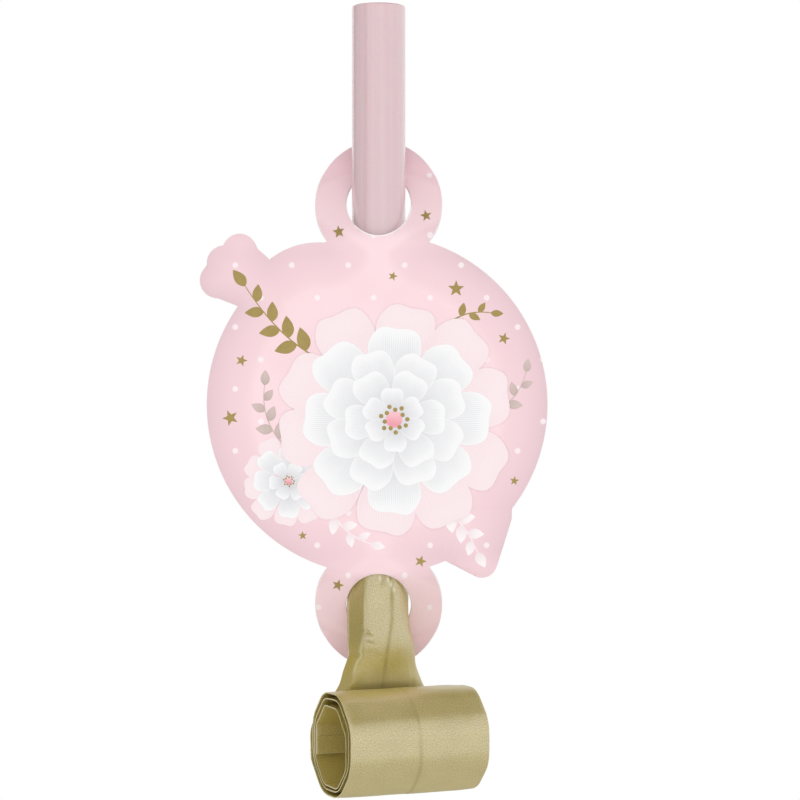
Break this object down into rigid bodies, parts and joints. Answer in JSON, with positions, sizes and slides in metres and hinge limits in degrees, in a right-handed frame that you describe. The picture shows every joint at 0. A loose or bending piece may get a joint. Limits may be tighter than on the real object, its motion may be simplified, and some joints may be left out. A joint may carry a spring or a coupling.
{
  "type": "party horn blower",
  "caption": "Party horn blower: plastic mouthpiece tube with a reed, a die-cut card medallion threaded on it, and a coiled gold paper tube that unrolls when blown.",
  "frame": {"origin": "centre of the mouth end of the tube", "axes": "+Z out of the mouth along the tube, -Y towards the viewer of the medallion's printed face, +X to that viewer's right"},
  "size_m": [0.0574, 0.0267, 0.1305],
  "materials": {
    "pink_plastic": "satin",
    "reed_plastic": "moulded",
    "reed_film": "clear film",
    "printed_card": "printed matt",
    "gold_paper": "metallic coated",
    "spring_wire": "drawn"
  },
  "bodies": {
    "mouthpiece": {"mouthpiece_tube": "pink_plastic", "reed_body": "reed_plastic", "reed_wedge": "reed_plastic", "paper_neck": "gold_paper", "spring_anchor": "spring_wire"},
    "reed": {"reed_tongue": "reed_film"},
    "medallion": {"medallion_card": "printed_card"},
    "blowout_01": {"paper_link_01": "gold_paper", "spring_link_01": "spring_wire"},
    "blowout_02": {"paper_link_02": "gold_paper", "spring_link_02": "spring_wire"},
    "blowout_03": {"paper_link_03": "gold_paper", "spring_link_03": "spring_wire"},
    "blowout_04": {"paper_link_04": "gold_paper", "spring_link_04": "spring_wire"},
    "blowout_05": {"paper_link_05": "gold_paper", "spring_link_05": "spring_wire"},
    "blowout_06": {"paper_link_06": "gold_paper", "spring_link_06": "spring_wire"},
    "blowout_07": {"paper_link_07": "gold_paper", "spring_link_07": "spring_wire"},
    "blowout_08": {"paper_link_08": "gold_paper", "spring_link_08": "spring_wire"},
    "blowout_09": {"paper_link_09": "gold_paper", "spring_link_09": "spring_wire"},
    "blowout_10": {"paper_link_10": "gold_paper", "spring_link_10": "spring_wire"},
    "blowout_11": {"paper_link_11": "gold_paper", "spring_link_11": "spring_wire"},
    "blowout_12": {"paper_link_12": "gold_paper", "spring_link_12": "spring_wire"},
    "blowout_13": {"paper_link_13": "gold_paper", "spring_link_13": "spring_wire"},
    "blowout_14": {"paper_link_14": "gold_paper", "spring_link_14": "spring_wire"},
    "blowout_15": {"paper_link_15": "gold_paper", "spring_link_15": "spring_wire"},
    "blowout_16": {"paper_link_16": "gold_paper", "spring_link_16": "spring_wire"},
    "blowout_17": {"paper_link_17": "gold_paper", "spring_link_17": "spring_wire"},
    "blowout_18": {"paper_link_18": "gold_paper", "spring_link_18": "spring_wire"},
    "blowout_19": {"paper_link_19": "gold_paper", "spring_link_19": "spring_wire"},
    "blowout_20": {"paper_link_20": "gold_paper", "spring_link_20": "spring_wire"},
    "blowout_21": {"paper_link_21": "gold_paper", "spring_link_21": "spring_wire"},
    "blowout_22": {"paper_link_22": "gold_paper", "spring_link_22": "spring_wire"},
    "blowout_23": {"paper_link_23": "gold_paper", "spring_link_23": "spring_wire"},
    "blowout_24": {"paper_link_24": "gold_paper", "spring_link_24": "spring_wire", "end_fold": "gold_paper"}
  },
  "joints": [
    {"name": "reed_flex", "type": "hinge", "parent": "mouthpiece", "child": "reed", "pos_m": [0, -0.0002, -0.0867], "axis": [1, 0, 0], "range_deg": [-1.5, 1.5], "stiffness_Nm_per_rad": 0.0002},
    {"name": "medallion_swivel", "type": "hinge", "parent": "mouthpiece", "child": "medallion", "pos_m": [0, 0, -0.06675], "axis": [0, 0, 1], "range_deg": [-25, 72]},
    {"name": "unroll_01", "type": "hinge", "parent": "mouthpiece", "child": "blowout_01", "pos_m": [0.00008, -0.00018, -0.12518], "axis": [0.9135, 0.4067, 0], "range_deg": [0, 45], "stiffness_Nm_per_rad": 0.00005, "springref_deg": -45.84},
    {"name": "unroll_02", "type": "hinge", "parent": "blowout_01", "child": "blowout_02", "pos_m": [0.00209, -0.0047, -0.13012], "axis": [0.9135, 0.4067, 0], "range_deg": [0, 45], "stiffness_Nm_per_rad": 0.00005, "springref_deg": -45.84},
    {"name": "unroll_03", "type": "hinge", "parent": "blowout_02", "child": "blowout_03", "pos_m": [0.0049, -0.011, -0.13012], "axis": [0.9135, 0.4067, 0], "range_deg": [0, 45], "stiffness_Nm_per_rad": 0.00005, "springref_deg": -45.84},
    {"name": "unroll_04", "type": "hinge", "parent": "blowout_03", "child": "blowout_04", "pos_m": [0.00685, -0.01539, -0.12531], "axis": [0.9135, 0.4067, 0], "range_deg": [0, 45], "stiffness_Nm_per_rad": 0.00005, "springref_deg": -45.84},
    {"name": "unroll_05", "type": "hinge", "parent": "blowout_04", "child": "blowout_05", "pos_m": [0.00685, -0.01539, -0.1186], "axis": [0.9135, 0.4067, 0], "range_deg": [0, 45], "stiffness_Nm_per_rad": 0.00005, "springref_deg": -45.84},
    {"name": "unroll_06", "type": "hinge", "parent": "blowout_05", "child": "blowout_06", "pos_m": [0.00495, -0.01112, -0.11392], "axis": [0.9135, 0.4067, 0], "range_deg": [0, 45], "stiffness_Nm_per_rad": 0.00005, "springref_deg": -45.84},
    {"name": "unroll_07", "type": "hinge", "parent": "blowout_06", "child": "blowout_07", "pos_m": [0.0023, -0.00516, -0.11392], "axis": [0.9135, 0.4067, 0], "range_deg": [0, 45], "stiffness_Nm_per_rad": 0.00005, "springref_deg": -45.84},
    {"name": "unroll_08", "type": "hinge", "parent": "blowout_07", "child": "blowout_08", "pos_m": [0.00045, -0.001, -0.11847], "axis": [0.9135, 0.4067, 0], "range_deg": [0, 45], "stiffness_Nm_per_rad": 0.00005, "springref_deg": -45.84},
    {"name": "unroll_09", "type": "hinge", "parent": "blowout_08", "child": "blowout_09", "pos_m": [0.00045, -0.001, -0.12481], "axis": [0.9135, 0.4067, 0], "range_deg": [0, 45], "stiffness_Nm_per_rad": 0.00005, "springref_deg": -45.84},
    {"name": "unroll_10", "type": "hinge", "parent": "blowout_09", "child": "blowout_10", "pos_m": [0.00224, -0.00504, -0.12923], "axis": [0.9135, 0.4067, 0], "range_deg": [0, 45], "stiffness_Nm_per_rad": 0.00005, "springref_deg": -45.84},
    {"name": "unroll_11", "type": "hinge", "parent": "blowout_10", "child": "blowout_11", "pos_m": [0.00475, -0.01066, -0.12923], "axis": [0.9135, 0.4067, 0], "range_deg": [0, 45], "stiffness_Nm_per_rad": 0.00005, "springref_deg": -45.84},
    {"name": "unroll_12", "type": "hinge", "parent": "blowout_11", "child": "blowout_12", "pos_m": [0.00649, -0.01457, -0.12494], "axis": [0.9135, 0.4067, 0], "range_deg": [0, 45], "stiffness_Nm_per_rad": 0.00005, "springref_deg": -45.84},
    {"name": "unroll_13", "type": "hinge", "parent": "blowout_12", "child": "blowout_13", "pos_m": [0.00649, -0.01457, -0.11898], "axis": [0.9135, 0.4067, 0], "range_deg": [0, 45], "stiffness_Nm_per_rad": 0.00005, "springref_deg": -45.84},
    {"name": "unroll_14", "type": "hinge", "parent": "blowout_13", "child": "blowout_14", "pos_m": [0.0048, -0.01078, -0.11482], "axis": [0.9135, 0.4067, 0], "range_deg": [0, 45], "stiffness_Nm_per_rad": 0.00005, "springref_deg": -45.84},
    {"name": "unroll_15", "type": "hinge", "parent": "blowout_14", "child": "blowout_15", "pos_m": [0.00245, -0.0055, -0.11482], "axis": [0.9135, 0.4067, 0], "range_deg": [0, 45], "stiffness_Nm_per_rad": 0.00005, "springref_deg": -45.84},
    {"name": "unroll_16", "type": "hinge", "parent": "blowout_15", "child": "blowout_16", "pos_m": [0.00081, -0.00183, -0.11885], "axis": [0.9135, 0.4067, 0], "range_deg": [0, 45], "stiffness_Nm_per_rad": 0.00005, "springref_deg": -45.84},
    {"name": "unroll_17", "type": "hinge", "parent": "blowout_16", "child": "blowout_17", "pos_m": [0.00081, -0.00183, -0.12444], "axis": [0.9135, 0.4067, 0], "range_deg": [0, 45], "stiffness_Nm_per_rad": 0.00005, "springref_deg": -45.84},
    {"name": "unroll_18", "type": "hinge", "parent": "blowout_17", "child": "blowout_18", "pos_m": [0.00239, -0.00538, -0.12832], "axis": [0.9135, 0.4067, 0], "range_deg": [0, 45], "stiffness_Nm_per_rad": 0.00005, "springref_deg": -45.84},
    {"name": "unroll_19", "type": "hinge", "parent": "blowout_18", "child": "blowout_19", "pos_m": [0.00459, -0.01032, -0.12832], "axis": [0.9135, 0.4067, 0], "range_deg": [0, 45], "stiffness_Nm_per_rad": 0.00005, "springref_deg": -45.84},
    {"name": "unroll_20", "type": "hinge", "parent": "blowout_19", "child": "blowout_20", "pos_m": [0.00612, -0.01375, -0.12457], "axis": [0.9135, 0.4067, 0], "range_deg": [0, 45], "stiffness_Nm_per_rad": 0.00005, "springref_deg": -45.84},
    {"name": "unroll_21", "type": "hinge", "parent": "blowout_20", "child": "blowout_21", "pos_m": [0.00612, -0.01375, -0.11935], "axis": [0.9135, 0.4067, 0], "range_deg": [0, 45], "stiffness_Nm_per_rad": 0.00005, "springref_deg": -45.84},
    {"name": "unroll_22", "type": "hinge", "parent": "blowout_21", "child": "blowout_22", "pos_m": [0.00465, -0.01044, -0.11572], "axis": [0.9135, 0.4067, 0], "range_deg": [0, 45], "stiffness_Nm_per_rad": 0.00005, "springref_deg": -45.84},
    {"name": "unroll_23", "type": "hinge", "parent": "blowout_22", "child": "blowout_23", "pos_m": [0.0026, -0.00584, -0.11572], "axis": [0.9135, 0.4067, 0], "range_deg": [0, 45], "stiffness_Nm_per_rad": 0.00005, "springref_deg": -45.84},
    {"name": "unroll_24", "type": "hinge", "parent": "blowout_23", "child": "blowout_24", "pos_m": [0.00118, -0.00265, -0.11922], "axis": [0.9135, 0.4067, 0], "range_deg": [0, 45], "stiffness_Nm_per_rad": 0.00005, "springref_deg": -45.84}
  ],
  "couplings": [
    {"joint": "unroll_02", "follows": "unroll_01", "ratio": 1},
    {"joint": "unroll_03", "follows": "unroll_01", "ratio": 1},
    {"joint": "unroll_04", "follows": "unroll_01", "ratio": 1},
    {"joint": "unroll_05", "follows": "unroll_01", "ratio": 1},
    {"joint": "unroll_06", "follows": "unroll_01", "ratio": 1},
    {"joint": "unroll_07", "follows": "unroll_01", "ratio": 1},
    {"joint": "unroll_08", "follows": "unroll_01", "ratio": 1},
    {"joint": "unroll_09", "follows": "unroll_01", "ratio": 1},
    {"joint": "unroll_10", "follows": "unroll_01", "ratio": 1},
    {"joint": "unroll_11", "follows": "unroll_01", "ratio": 1},
    {"joint": "unroll_12", "follows": "unroll_01", "ratio": 1},
    {"joint": "unroll_13", "follows": "unroll_01", "ratio": 1},
    {"joint": "unroll_14", "follows": "unroll_01", "ratio": 1},
    {"joint": "unroll_15", "follows": "unroll_01", "ratio": 1},
    {"joint": "unroll_16", "follows": "unroll_01", "ratio": 1},
    {"joint": "unroll_17", "follows": "unroll_01", "ratio": 1},
    {"joint": "unroll_18", "follows": "unroll_01", "ratio": 1},
    {"joint": "unroll_19", "follows": "unroll_01", "ratio": 1},
    {"joint": "unroll_20", "follows": "unroll_01", "ratio": 1},
    {"joint": "unroll_21", "follows": "unroll_01", "ratio": 1},
    {"joint": "unroll_22", "follows": "unroll_01", "ratio": 1},
    {"joint": "unroll_23", "follows": "unroll_01", "ratio": 1},
    {"joint": "unroll_24", "follows": "unroll_01", "ratio": 1}
  ]
}
